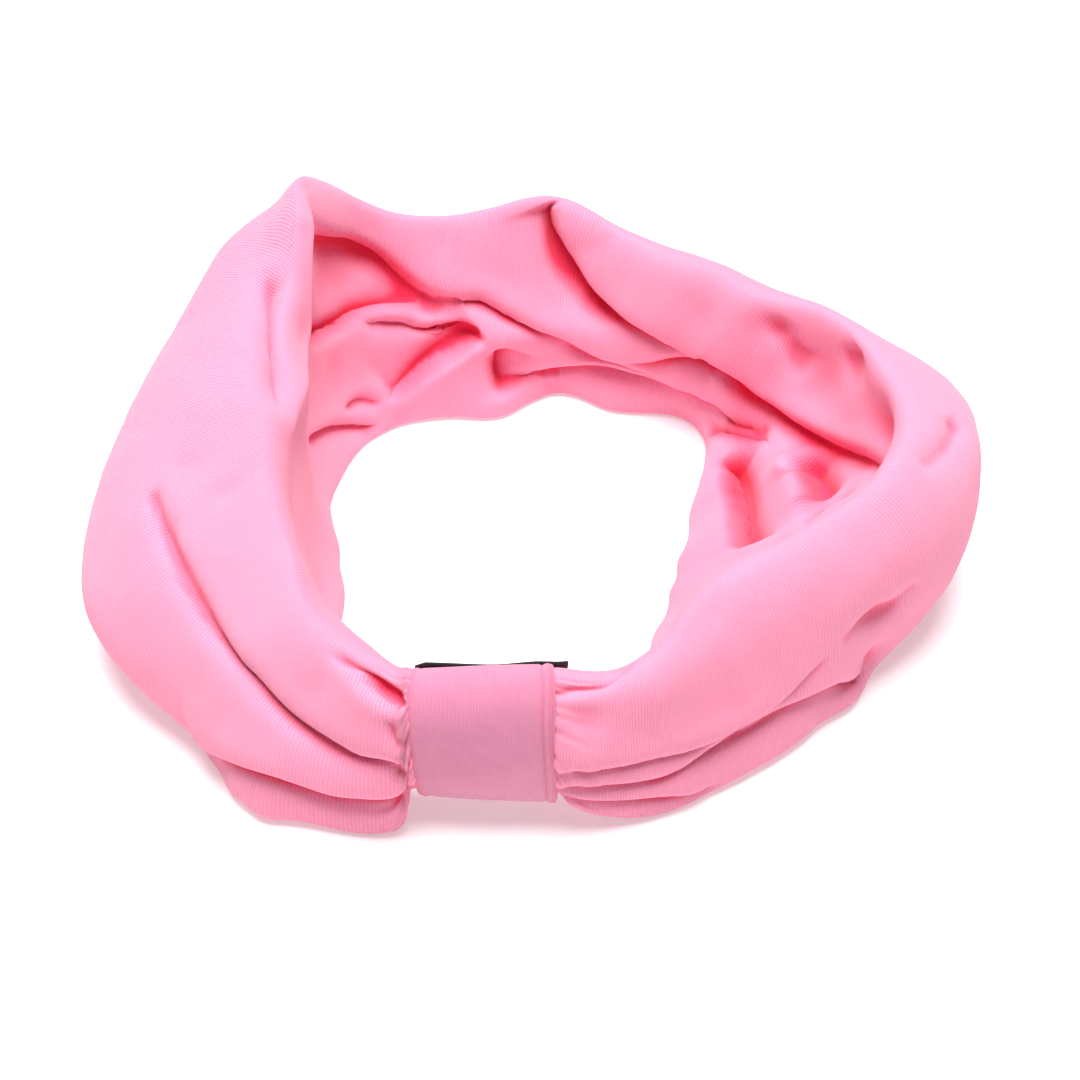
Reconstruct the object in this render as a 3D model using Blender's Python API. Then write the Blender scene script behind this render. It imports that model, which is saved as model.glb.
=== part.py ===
"""Wide jersey headband: one soft double-layer tube of knit closed in a loop, gathered at the
front and held by a narrow knit ring, with a plain woven tape on the head side of the ring.

Frame: metres, +Z up.  The band lies on a table with its loop axis vertical, the ring at the
front (-Y), +X to the wearer's left.  The origin is the bottom centre of the whole object.

Soft pieces are filled, plain solids here: the right size, place and mass, nothing finer.
"""
import bpy
import bmesh
from math import cos, sin, pi, radians
from mathutils import Vector

MM = 0.001

# ---------------------------------------------------------------- driving dimensions (mm)
LOOP_HALF_X = 80.0        # half length of the loop's guide line, side to side
LOOP_HALF_Y = 72.0        # half length of the guide line, front to back
LOOP_CENTRE_X = -0.9
LOOP_CENTRE_Y = -3.9
JOIN_GAP = 0.3            # clearance between touching soft solids

RING_X = -11.9            # middle of the front ring along X
RING_Y = -77.1            # middle of the gathered core
RING_Z = 26.0
RING_WIDTH = 31.0         # width of the ring along the band
RING_HALF_Y = 9.5         # outer half thickness of the ring
RING_HALF_Z = 20.0        # outer half height of the ring
RING_WALL = 1.3           # two layers of jersey
CORE_HALF_Y = 6.7         # gathered knit inside the ring
CORE_HALF_Z = 17.2
CORE_END_CLEAR = 2.7      # free length between the ring's edge and the puffed band

THREAD_R = 0.35
GATHER_TURNS = 3
GATHER_PITCH = 2.6

TAPE_WIDTH = 33.0         # woven tape on the head side of the ring
TAPE_THICK = 0.6
TAPE_FROM = 52.0          # degrees above the head-side horizontal
TAPE_TO = -34.0

STITCH_PITCH = 3.4
STITCH_R = 0.22

SLICES_PER_STATION = 3    # loft rows between two stations

# ---------------------------------------------------------------- cross sections of the band
# Each station: angle on the guide line, then nine points of the section as (outward, up),
# from the inner foot over the rim to the outer foot.  The last edge closes the flat underside.
REAR = [
    (0,   [(-44, 0), (-33, 13), (-20, 29), (-6, 47), (6, 57), (18, 56), (27, 43), (26, 19), (14, 0)]),
    (15,  [(-42, 0), (-32, 12), (-18, 26), (-5, 43), (5, 56), (16, 56), (25, 42), (25, 18), (13, 0)]),
    (30,  [(-36, 0), (-27, 12), (-15, 25), (-9, 40), (3, 55), (14, 56), (23, 40), (22, 17), (12, 0)]),
    (45,  [(-22, 0), (-19, 12), (-14, 24), (-11, 40), (-2, 55), (10, 56), (21, 40), (20, 16), (10, 0)]),
    (60,  [(-9, 0), (-12, 12), (-13, 25), (-12, 40), (-4, 55), (8, 57), (19, 40), (18, 15), (9, 0)]),
    (75,  [(-7, 0), (-9, 12), (-10, 25), (-8, 41), (-1, 57), (9, 58), (18, 40), (17, 15), (9, 0)]),
    (90,  [(-8, 0), (-9, 12), (-9, 25), (-5, 42), (3, 58), (11, 58), (18, 40), (17, 15), (9, 0)]),
    (105, [(-11, 0), (-9, 12), (-7, 24), (-1, 38), (7, 53), (14, 54), (20, 38), (18, 15), (9, 0)]),
    (120, [(-10, 0), (-6, 12), (-2, 25), (4, 42), (10, 60), (18, 61), (24, 43), (20, 17), (9, 0)]),
    (135, [(-14, 0), (-8, 14), (-4, 29), (-2, 47), (1, 65), (14, 65), (26, 48), (22, 20), (10, 0)]),
    (150, [(-23, 0), (-20, 15), (-18, 30), (-17, 46), (-13, 63), (4, 61), (21, 43), (20, 18), (9, 0)]),
    (165, [(-29, 0), (-27, 15), (-25, 30), (-24, 45), (-19, 60), (2, 57), (21, 38), (20, 15), (9, 0)]),
    (180, [(-32, 0), (-29, 15), (-27, 30), (-25, 44), (-19, 58), (4, 53), (24, 32), (22, 11), (11, 0)]),
]
FRONT_LEFT = [
    (180, [(-32, 0), (-29, 15), (-27, 30), (-25, 44), (-19, 58), (4, 53), (24, 32), (22, 11), (11, 0)]),
    (195, [(-32, 0), (-28, 14), (-25, 29), (-22, 43), (-16, 56), (8, 47), (28, 25), (26, 8), (16, 0)]),
    (210, [(-28, 0), (-24, 13), (-21, 27), (-18, 41), (-12, 53), (8, 42), (25, 19), (25, 6), (18, 0)]),
    (225, [(-21, 0), (-19, 13), (-16, 26), (-12, 38), (-5, 50), (9, 38), (21, 16), (22, 5), (18, 0)]),
    (240, [(-9, 0), (-11, 12), (-9, 25), (-4, 37), (5, 46), (12, 36), (18, 17), (19, 5), (15, 0)]),
]
FRONT_RIGHT = [
    (285, [(-8, 1), (-12, 13), (-12, 26), (-8, 38), (0, 44), (6, 36), (9, 18), (10, 7), (5, 0)]),
    (300, [(-30, 0), (-27, 12), (-22, 26), (-16, 39), (-8, 48), (0, 38), (6, 19), (9, 7), (4, 0)]),
    (315, [(-40, 0), (-34, 13), (-26, 28), (-18, 42), (-9, 52), (1, 42), (8, 22), (9, 8), (3, 0)]),
    (330, [(-43, 0), (-35, 13), (-24, 29), (-13, 44), (-4, 54), (8, 48), (16, 29), (14, 12), (5, 0)]),
    (345, [(-45, 0), (-35, 13), (-21, 30), (-9, 46), (4, 57), (16, 53), (25, 37), (23, 15), (11, 0)]),
    (360, [(-44, 0), (-33, 13), (-20, 29), (-6, 47), (6, 57), (18, 56), (27, 43), (26, 19), (14, 0)]),
]


# ---------------------------------------------------------------- small helpers
def clear_scene():
    for ob in list(bpy.data.objects):
        bpy.data.objects.remove(ob, do_unlink=True)


def material(name, colour, roughness):
    mat = bpy.data.materials.new(name)
    mat.use_nodes = True
    bsdf = mat.node_tree.nodes["Principled BSDF"]
    bsdf.inputs["Base Color"].default_value = (*colour, 1.0)
    bsdf.inputs["Roughness"].default_value = roughness
    bsdf.inputs["Metallic"].default_value = 0.0
    mat.diffuse_color = (*colour, 1.0)
    return mat


def new_object(name, bm, mat, smooth=True):
    bmesh.ops.recalc_face_normals(bm, faces=bm.faces)
    me = bpy.data.meshes.new(name)
    bm.to_mesh(me)
    bm.free()
    if smooth:
        me.shade_smooth()
        me.set_sharp_from_angle(angle=radians(50))
    ob = bpy.data.objects.new(name, me)
    me.materials.append(mat)
    bpy.context.scene.collection.objects.link(ob)
    return ob


def spline(p0, p1, p2, p3, t):
    """Catmull-Rom value between p1 and p2."""
    return 0.5 * ((2 * p1) + (p2 - p0) * t + (2 * p0 - 5 * p1 + 4 * p2 - p3) * t * t
                  + (3 * p1 - p0 - 3 * p2 + p3) * t * t * t)


def resample(rows, steps):
    """Smooth open curve through rows (lists of numbers), `steps` pieces per span."""
    out = []
    n = len(rows)
    for i in range(n - 1):
        a = rows[i - 1] if i > 0 else [2 * x - y for x, y in zip(rows[0], rows[1])]
        b, c = rows[i], rows[i + 1]
        d = rows[i + 2] if i + 2 < n else [2 * x - y for x, y in zip(rows[-1], rows[-2])]
        for k in range(steps):
            t = k / steps
            out.append([spline(w, x, y, z, t) for w, x, y, z in zip(a, b, c, d)])
    out.append(list(rows[-1]))
    return out


def guide(angle):
    """Point and outward direction of the loop's guide line."""
    a = radians(angle)
    x = LOOP_CENTRE_X + LOOP_HALF_X * cos(a)
    y = LOOP_CENTRE_Y + LOOP_HALF_Y * sin(a)
    nx, ny = LOOP_HALF_Y * cos(a), LOOP_HALF_X * sin(a)
    length = (nx * nx + ny * ny) ** 0.5
    return x, y, nx / length, ny / length


def station_row(angle, section, shift_y=0.0):
    x, y, nx, ny = guide(angle)
    row = [x, y + shift_y, nx, ny]
    for d, z in section:
        row += [float(d), float(z)]
    return row


def neck_row(x, half_y, half_z):
    """The oval end of the puffed band beside the ring, in a plane of constant X."""
    row = [x, RING_Y, 0.0, -1.0]
    for k in range(9):
        a = radians(-130 + k * 32.5) if x < RING_X else radians(-130 + k * 32.5)
        row += [half_y * sin(a), RING_Z + half_z * cos(a)]
    return row


def loft(name, rows, mat):
    """Closed solid through section rows: x, y, outward x, outward y, then nine (d, z)."""
    bm = bmesh.new()
    rings = []
    for row in resample(rows, SLICES_PER_STATION):
        x, y, nx, ny = row[:4]
        length = (nx * nx + ny * ny) ** 0.5
        nx, ny = nx / length, ny / length
        pts = [[row[4 + 2 * k], row[5 + 2 * k]] for k in range(9)]
        pts = resample(pts, 2)
        foot_out, foot_in = pts[-1], pts[0]
        pts.append([(foot_out[0] + foot_in[0]) / 2, (foot_out[1] + foot_in[1]) / 2])
        ring = []
        for d, z in pts:
            ring.append(bm.verts.new(Vector((x + nx * d, y + ny * d, max(z, 0.0))) * MM))
        rings.append(ring)
    n = len(rings[0])
    for a, b in zip(rings, rings[1:]):
        for k in range(n):
            bm.faces.new((a[k], a[(k + 1) % n], b[(k + 1) % n], b[k]))
    bm.faces.new(rings[0])
    bm.faces.new(rings[-1])
    bmesh.ops.triangulate(bm, faces=bm.faces)
    return new_object(name, bm, mat)


def oval(half_y, half_z, angle):
    """Point of an oval round the core, in the ring's plane; 0 degrees is the head side (+Y)."""
    a = radians(angle)
    return RING_Y + half_y * cos(a), RING_Z + half_z * sin(a)


def oval_tube(name, x0, x1, inner, outer, segments, mat):
    """Open oval ring (or a plug when inner is None) running from x0 to x1."""
    bm = bmesh.new()

    def ring(x, size):
        out = []
        for k in range(segments):
            y, z = oval(size[0], size[1], 360.0 * k / segments)
            out.append(bm.verts.new(Vector((x, y, z)) * MM))
        return out

    edge = 0.45
    if inner is None:
        soft = (outer[0] - edge, outer[1] - edge)
        loops = [ring(x0, soft), ring(x0 + edge, outer), ring(x1 - edge, outer), ring(x1, soft)]
        bm.faces.new(loops[0])
        bm.faces.new(loops[-1])
        pairs = list(zip(loops, loops[1:]))
    else:
        less = (outer[0] - edge, outer[1] - edge)
        more = (inner[0] + edge, inner[1] + edge)
        loops = [ring(x0, less), ring(x0 + edge, outer), ring(x1 - edge, outer), ring(x1, less),
                 ring(x1, more), ring(x1 - edge, inner), ring(x0 + edge, inner), ring(x0, more)]
        pairs = list(zip(loops, loops[1:] + loops[:1]))
    for a, b in pairs:
        for k in range(segments):
            bm.faces.new((a[k], a[(k + 1) % segments], b[(k + 1) % segments], b[k]))
    bmesh.ops.triangulate(bm, faces=bm.faces)
    return new_object(name, bm, mat)


def sweep(bm, path, radius, sides=6):
    """Closed round bar along a list of points; a closed path is a loop when first == last."""
    closed = (path[0] - path[-1]).length < 1e-9
    pts = path[:-1] if closed else path
    rings = []
    n = len(pts)
    for i, p in enumerate(pts):
        if closed:
            t = (pts[(i + 1) % n] - pts[i - 1]).normalized()
        else:
            t = (pts[min(i + 1, n - 1)] - pts[max(i - 1, 0)]).normalized()
        side = t.cross(Vector((1, 0, 0)))
        if side.length < 0.3:
            side = t.cross(Vector((0, 1, 0)))
        side.normalize()
        up = side.cross(t).normalized()
        rings.append([bm.verts.new((p + radius * (cos(2 * pi * k / sides) * side
                                                  + sin(2 * pi * k / sides) * up)) * MM)
                      for k in range(sides)])
    spans = list(zip(rings, rings[1:])) + ([(rings[-1], rings[0])] if closed else [])
    for a, b in spans:
        for k in range(sides):
            bm.faces.new((a[k], a[(k + 1) % sides], b[(k + 1) % sides], b[k]))
    if not closed:
        bm.faces.new(rings[0])
        bm.faces.new(rings[-1])


# ---------------------------------------------------------------- build
clear_scene()

jersey = material("jersey_pink", (0.93, 0.36, 0.55), 0.9)
jersey_core = material("jersey_core", (0.86, 0.27, 0.46), 0.92)
wrap_knit = material("wrap_knit", (0.90, 0.42, 0.60), 0.88)
tape_black = material("tape_black", (0.02, 0.02, 0.022), 0.8)
thread_pink = material("thread_pink", (0.88, 0.38, 0.56), 0.7)
thread_dark = material("thread_dark", (0.03, 0.03, 0.033), 0.7)

ring_x0 = RING_X - RING_WIDTH / 2
ring_x1 = RING_X + RING_WIDTH / 2
neck_left = ring_x0 - CORE_END_CLEAR
neck_right = ring_x1 + CORE_END_CLEAR

# --- the band: one sewn tube, in three solids so that its loop can open
half = JOIN_GAP / 2
loft("band_rear", [station_row(a, s, half if a in (0, 180) else 0.0) for a, s in REAR], jersey)

left_rows = [station_row(a, s, -half if a == 180 else 0.0) for a, s in FRONT_LEFT]
left_rows.append(neck_row(neck_left, 8.6, 18.6))
loft("band_front_left", left_rows, jersey)

right_rows = [neck_row(neck_right, 8.6, 18.6)]
right_rows += [station_row(a, s, -half if a == 360 else 0.0) for a, s in FRONT_RIGHT]
loft("band_front_right", right_rows, jersey)

# --- the gathered ends of the tube, bunched inside the ring
oval_tube("front_gather", neck_left + JOIN_GAP, neck_right - JOIN_GAP, None,
          (CORE_HALF_Y, CORE_HALF_Z), 32, jersey_core)

# --- gathering thread wound round the core
bm = bmesh.new()
path = []
for k in range(GATHER_TURNS * 40 + 1):
    y, z = oval(CORE_HALF_Y + 0.35 + THREAD_R, CORE_HALF_Z + 0.35 + THREAD_R, 360.0 * k / 40 - 90.0)
    path.append(Vector((RING_X + (k / 40 - GATHER_TURNS / 2) * GATHER_PITCH, y, z)))
sweep(bm, path, THREAD_R)
new_object("gathering_thread", bm, thread_pink)

# --- the front ring
oval_tube("centre_wrap", ring_x0, ring_x1,
          (RING_HALF_Y - RING_WALL, RING_HALF_Z - RING_WALL),
          (RING_HALF_Y, RING_HALF_Z), 48, wrap_knit)

# --- the ring's closing seam: one overcast thread low on the head side
bm = bmesh.new()
count = int((RING_WIDTH - 4.0) / (STITCH_PITCH / 2)) + 1
seam_angle = -52.0
path = []
for i in range(count):
    x = RING_X + (i - (count - 1) / 2) * STITCH_PITCH / 2
    y, z = oval(RING_HALF_Y + 0.3 + STITCH_R, RING_HALF_Z + 0.3 + STITCH_R,
                seam_angle + (3.2 if i % 2 else -3.2))
    path.append(Vector((x, y, z)))
sweep(bm, path, STITCH_R)
new_object("wrap_closing_thread", bm, thread_pink)

# --- plain woven tape on the head side of the ring
bm = bmesh.new()
near = RING_HALF_Y + JOIN_GAP, RING_HALF_Z + JOIN_GAP
far = near[0] + TAPE_THICK, near[1] + TAPE_THICK
steps = 16
sides = []
for x in (RING_X - TAPE_WIDTH / 2, RING_X + TAPE_WIDTH / 2):
    a_row, b_row = [], []
    for k in range(steps + 1):
        angle = TAPE_FROM + (TAPE_TO - TAPE_FROM) * k / steps
        y, z = oval(near[0], near[1], angle)
        a_row.append(bm.verts.new(Vector((x, y, z)) * MM))
        y, z = oval(far[0], far[1], angle)
        b_row.append(bm.verts.new(Vector((x, y, z)) * MM))
    sides.append((a_row, b_row))
(a0, b0), (a1, b1) = sides
for k in range(steps):
    bm.faces.new((a0[k], a0[k + 1], a1[k + 1], a1[k]))
    bm.faces.new((b0[k], b1[k], b1[k + 1], b0[k + 1]))
    bm.faces.new((a0[k], b0[k], b0[k + 1], a0[k + 1]))
    bm.faces.new((a1[k], a1[k + 1], b1[k + 1], b1[k]))
bm.faces.new((a0[0], a1[0], b1[0], b0[0]))
bm.faces.new((a0[-1], b0[-1], b1[-1], a1[-1]))
bmesh.ops.triangulate(bm, faces=bm.faces)
new_object("inner_tape", bm, tape_black)

# --- one zigzag thread along each short end of the tape
lift = (far[0] + 0.3 + STITCH_R, far[1] + 0.3 + STITCH_R)
for name, x in (("tape_thread_left", RING_X - TAPE_WIDTH / 2 + 1.8),
                ("tape_thread_right", RING_X + TAPE_WIDTH / 2 - 1.8)):
    bm = bmesh.new()
    path = []
    rows = 14
    for i in range(rows):
        angle = TAPE_FROM - 6.0 + (TAPE_TO - TAPE_FROM + 12.0) * i / (rows - 1)
        y, z = oval(lift[0], lift[1], angle)
        path.append(Vector((x + (0.6 if i % 2 else -0.6), y, z)))
    sweep(bm, path, STITCH_R)
    new_object(name, bm, thread_dark)
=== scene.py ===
import math
import bpy
import numpy as np
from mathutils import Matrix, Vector


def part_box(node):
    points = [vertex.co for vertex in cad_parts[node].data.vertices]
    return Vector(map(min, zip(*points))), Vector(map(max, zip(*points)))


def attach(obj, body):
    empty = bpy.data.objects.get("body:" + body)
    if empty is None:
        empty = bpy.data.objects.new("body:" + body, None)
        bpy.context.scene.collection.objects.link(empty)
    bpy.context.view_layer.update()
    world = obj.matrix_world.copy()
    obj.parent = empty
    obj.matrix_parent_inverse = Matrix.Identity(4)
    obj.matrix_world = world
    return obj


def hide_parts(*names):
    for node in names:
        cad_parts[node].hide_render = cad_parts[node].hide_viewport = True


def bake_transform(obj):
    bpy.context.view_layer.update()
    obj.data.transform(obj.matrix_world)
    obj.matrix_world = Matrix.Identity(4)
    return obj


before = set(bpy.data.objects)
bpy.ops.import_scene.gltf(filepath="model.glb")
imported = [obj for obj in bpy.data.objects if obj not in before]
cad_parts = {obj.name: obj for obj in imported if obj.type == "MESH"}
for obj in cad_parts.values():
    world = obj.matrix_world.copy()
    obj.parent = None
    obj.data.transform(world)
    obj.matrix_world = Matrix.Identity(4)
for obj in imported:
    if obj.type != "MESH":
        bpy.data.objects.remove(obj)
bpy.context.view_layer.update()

MM = 0.001

# ------------------------------------------------------------------ loop and cross sections (mm)
HALF_X, HALF_Y = 80.0, 72.0
CX, CY = -0.9, -3.9
ring_lo, ring_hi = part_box("centre_wrap")
RING_X = (ring_lo.x + ring_hi.x) / 2 / MM
RING_Y = (ring_lo.y + ring_hi.y) / 2 / MM
RING_Z = (ring_lo.z + ring_hi.z) / 2 / MM
RING_W = (ring_hi.x - ring_lo.x) / MM
RING_HY = (ring_hi.y - ring_lo.y) / 2 / MM
RING_HZ = (ring_hi.z - ring_lo.z) / 2 / MM
NW = 9                      # section points: 0 inner foot .. 4 rim .. 8 outer foot

SECTIONS = [
    (285, [(-6, 1), (-9, 13), (-9, 26), (-6, 36), (1, 41.5), (7, 35), (10, 19), (11, 7), (7, 0)]),
    (300, [(-27, 0), (-24, 12), (-19, 26), (-14, 39), (-8, 48), (1, 39), (6.5, 20), (8.5, 6), (5, 0)]),
    (315, [(-40, 0), (-34, 13), (-26, 28), (-18, 42), (-9, 52), (2, 43), (6.5, 22), (7.8, 7), (3.7, 0)]),
    (330, [(-43, 0), (-33, 11), (-20, 25), (-9, 40), (-4, 54), (7.5, 47), (11.8, 29), (9.0, 11), (2.8, 0)]),
    (345, [(-45, 0), (-33, 10), (-15, 23), (-3, 39), (4, 57), (15, 52), (21.2, 37), (19.4, 15), (7.2, 0)]),
    (360, [(-44, 0), (-31, 9), (-13, 20), (1, 36), (6, 56), (18, 53.5), (27, 42), (25, 19), (13, 0)]),
    (375, [(-42, 0), (-30, 9), (-12, 18), (1, 33), (4, 54), (15, 51), (26, 41), (25, 19), (13.5, 0)]),
    (390, [(-35.5, 0), (-25, 10), (-11, 20), (-4, 35), (2, 53), (10.5, 48.5), (20, 36), (21, 16), (12, 0)]),
    (400, [(-28, 0), (-22, 11), (-12, 22), (-9, 38), (-3, 52), (7, 47), (17, 35), (19, 15), (10, 0)]),
    (405, [(-19.5, 0), (-16.5, 12), (-14, 24), (-12, 40), (-5, 52), (5, 47), (16, 35), (18, 15), (9, 0)]),
    (411, [(-9.8, 0), (-11.5, 12), (-13.5, 25), (-13, 40), (-5, 53), (5, 47), (15, 34), (17, 15), (9, 0)]),
    (420, [(-4.8, 0), (-8.6, 12), (-13, 25), (-13, 40), (-6, 53), (4, 48), (14, 34), (16, 14), (8, 0)]),
    (435, [(-8.3, 0), (-8.5, 12), (-10, 25), (-5, 37), (3, 50), (11, 44), (16, 33), (16, 14), (8, 0)]),
    (446, [(-4.8, 0), (-7, 12), (-9, 25), (-1, 38), (8, 55), (14, 46), (18, 34), (17, 15), (9, 0)]),
    (455, [(-12.5, 0), (-11, 12), (-9, 24), (0, 36), (9, 51), (15, 44), (19, 33), (17, 15), (9, 0)]),
    (465, [(-12, 0), (-10, 12), (-7, 24), (1, 36), (10, 49), (16, 43), (20, 33), (18, 15), (9, 0)]),
    (474, [(-9, 0), (-8, 12), (-5, 25), (3, 38), (11.5, 53.5), (17, 47.5), (22, 35), (18, 15), (9, 0)]),
    (483, [(-9.5, 0), (-6, 12), (-2, 26), (4, 46), (13, 65.5), (19, 60), (22, 42), (18, 17), (9, 0)]),
    (492, [(-12.5, 0), (-8.5, 13), (-5, 28), (-3, 47), (4.5, 75.0), (16, 65.0), (26.5, 47), (21, 19), (10, 0)]),
    (500, [(-16.5, 0), (-13.2, 14), (-10.3, 29), (-9, 47), (-5.5, 65.5), (11, 62.5), (24.5, 47.5), (21, 19), (10, 0)]),
    (512, [(-23, 0), (-20, 15), (-18, 30), (-17, 46), (-13, 62), (4, 59), (21, 41), (20, 18), (9, 0)]),
    (525, [(-30, 0), (-27, 15), (-25, 30), (-24, 45), (-19, 60), (2, 57), (21, 37), (20, 15), (9, 0)]),
    (540, [(-32, 0), (-29, 15), (-27, 30), (-25, 44), (-19, 58), (4, 53), (24.2, 32), (22.5, 11), (11.5, 0)]),
    (555, [(-32, 0), (-28, 14), (-25, 29), (-22, 43), (-16, 56), (8, 47), (29, 26), (25, 8), (13.5, 0)]),
    (570, [(-26.5, 0), (-24, 13), (-21, 27), (-18, 41), (-12, 53), (9, 42), (25, 20), (21.8, 6), (13.5, 0)]),
    (585, [(-18.5, 0), (-17.5, 13), (-16, 26), (-12, 38), (-5, 50), (10, 38), (21.5, 18), (22, 5), (18.5, 0)]),
    (598, [(-13, 0), (-14, 12), (-12, 25), (-7, 38), (3, 47), (12, 37), (20, 18), (22, 6), (18, 0)]),
]


def oval_points(hy, hz):
    """Section of the gathered neck, in the same order as the others, about the ring's middle."""
    out = []
    for k in range(NW):
        a = math.radians(-130 + k * 32.5)
        out.append((hy * math.sin(a), RING_Z + hz * math.cos(a)))
    return out


def guide(angle):
    a = math.radians(angle)
    x = CX + HALF_X * math.cos(a)
    y = CY + HALF_Y * math.sin(a)
    n = np.array([HALF_Y * math.cos(a), HALF_X * math.sin(a)])
    return np.array([x, y]), n / np.linalg.norm(n)


def station_rows():
    """(loop coordinate, guide x, guide y, outward x, outward y, nine (out, up))."""
    rows = []

    def neck(coord, dx, hy, hz, drop=0.0):
        rows.append([coord, RING_X + dx, RING_Y, 0.0, -1.0] + [c for p in oval_points(hy, hz) for c in (p[0], p[1] - drop)])

    half = RING_W / 2
    neck(262, 0.0, 6.4, 16.8)
    neck(268.5, half - 1.6, 7.6, 18.0)
    neck(271.5, half + 0.6, 9.4, 19.4, 1.2)
    neck(275, half + 3.2, 10.6, 20.8, 3.2)
    for angle, pts in SECTIONS:
        g, n = guide(angle)
        rows.append([angle, g[0], g[1], n[0], n[1]] + [float(c) for p in pts for c in p])
    side = [(-8, 2), (-12, 12), (-12, 26), (-8, 38), (0, 45), (8, 38.5), (10.5, 21), (10.5, 8), (7, 1)]
    rows.append([605, RING_X - half - 3.4, RING_Y, 0.0, -1.0] + [float(c) for p in side for c in p])
    neck(609.5, -half - 0.6, 9.8, 19.6, 1.3)
    neck(612.5, -half + 1.2, 8.1, 17.9, 1.2)
    neck(615.5, -half + 3.0, 7.1, 17.2, 1.0)
    return np.array(rows)


def periodic_spline(t, y, period, tq):
    """Smooth periodic cubic through y(t); y is (n, m)."""
    n = len(t)
    h = np.diff(np.append(t, t[0] + period))
    A = np.zeros((n, n))
    B = np.zeros((n, y.shape[1]))
    for i in range(n):
        hm, hp = h[i - 1], h[i]
        A[i, (i - 1) % n] += hm
        A[i, i] += 2 * (hm + hp)
        A[i, (i + 1) % n] += hp
        B[i] = 6 * ((y[(i + 1) % n] - y[i]) / hp - (y[i] - y[i - 1]) / hm)
    m = np.linalg.solve(A, B)
    tq = (np.asarray(tq) - t[0]) % period + t[0]
    edges = np.append(t, t[0] + period)
    i = np.clip(np.searchsorted(edges, tq, side="right") - 1, 0, n - 1)
    j = (i + 1) % n
    a = (edges[i + 1] - tq)[:, None]
    b = (tq - edges[i])[:, None]
    hh = h[i][:, None]
    return (m[i] * a ** 3 + m[j] * b ** 3) / (6 * hh) + (y[i] / hh - m[i] * hh / 6) * a + (y[j] / hh - m[j] * hh / 6) * b


ROWS = station_rows()


def base_surface(coords, ws):
    """Points (len(coords), len(ws), 3) in mm; ws runs 0..10, where 9 is the middle of the underside."""
    vals = periodic_spline(ROWS[:, 0], ROWS[:, 1:], 360.0, coords)
    out = np.zeros((len(coords), len(ws), 3))
    for r, row in enumerate(vals):
        n = row[2:4] / np.linalg.norm(row[2:4])
        pts = row[4:].reshape(NW, 2)
        under = (pts[0] + pts[-1]) / 2
        pts = np.vstack([pts, under])
        sec = periodic_spline(np.arange(10.0), pts, 10.0, ws)
        z = sec[:, 1]
        z = np.where(z < 1.5, 1.5 * np.exp((z - 1.5) / 1.5), z)
        out[r, :, 0] = row[0] + n[0] * sec[:, 0]
        out[r, :, 1] = row[1] + n[1] * sec[:, 0]
        out[r, :, 2] = z
    return out


def grid_normals(P):
    du = np.roll(P, -1, 0) - np.roll(P, 1, 0)
    dv = np.roll(P, -1, 1) - np.roll(P, 1, 1)
    n = np.cross(dv, du)
    return n / np.maximum(np.linalg.norm(n, axis=2, keepdims=True), 1e-9)


NU, NV = 720, 260
U = 262.0 + 360.0 * np.arange(NU) / NU
W = 10.0 * np.arange(NV) / NV
P = base_surface(U, W)
BASE = P.copy()


def sample_grid(P, u, w):
    """Bilinear points of grid P at loop coordinates u and section coordinates w."""
    nu, nv = P.shape[:2]
    fu = (np.asarray(u) - 262.0) / 360.0 * nu
    fv = np.asarray(w) / 10.0 * nv
    iu, iv = np.floor(fu).astype(int), np.floor(fv).astype(int)
    a, b = (fu - iu)[:, None], (fv - iv)[:, None]
    p = lambda i, j: P[i % nu, j % nv]
    return (p(iu, iv) * (1 - a) * (1 - b) + p(iu + 1, iv) * a * (1 - b)
            + p(iu, iv + 1) * (1 - a) * b + p(iu + 1, iv + 1) * a * b)


def smooth_path(pts, steps=14):
    """Catmull-Rom through the rows of pts."""
    pts = np.asarray(pts, float)
    ext = np.vstack([2 * pts[0] - pts[1], pts, 2 * pts[-1] - pts[-2]])
    out = []
    for i in range(len(pts) - 1):
        p0, p1, p2, p3 = ext[i:i + 4]
        for k in range(steps):
            t = k / steps
            out.append(0.5 * (2 * p1 + (p2 - p0) * t + (2 * p0 - 5 * p1 + 4 * p2 - p3) * t * t
                              + (3 * p1 - p0 - 3 * p2 + p3) * t ** 3))
    out.append(pts[-1])
    return np.array(out)


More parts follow.
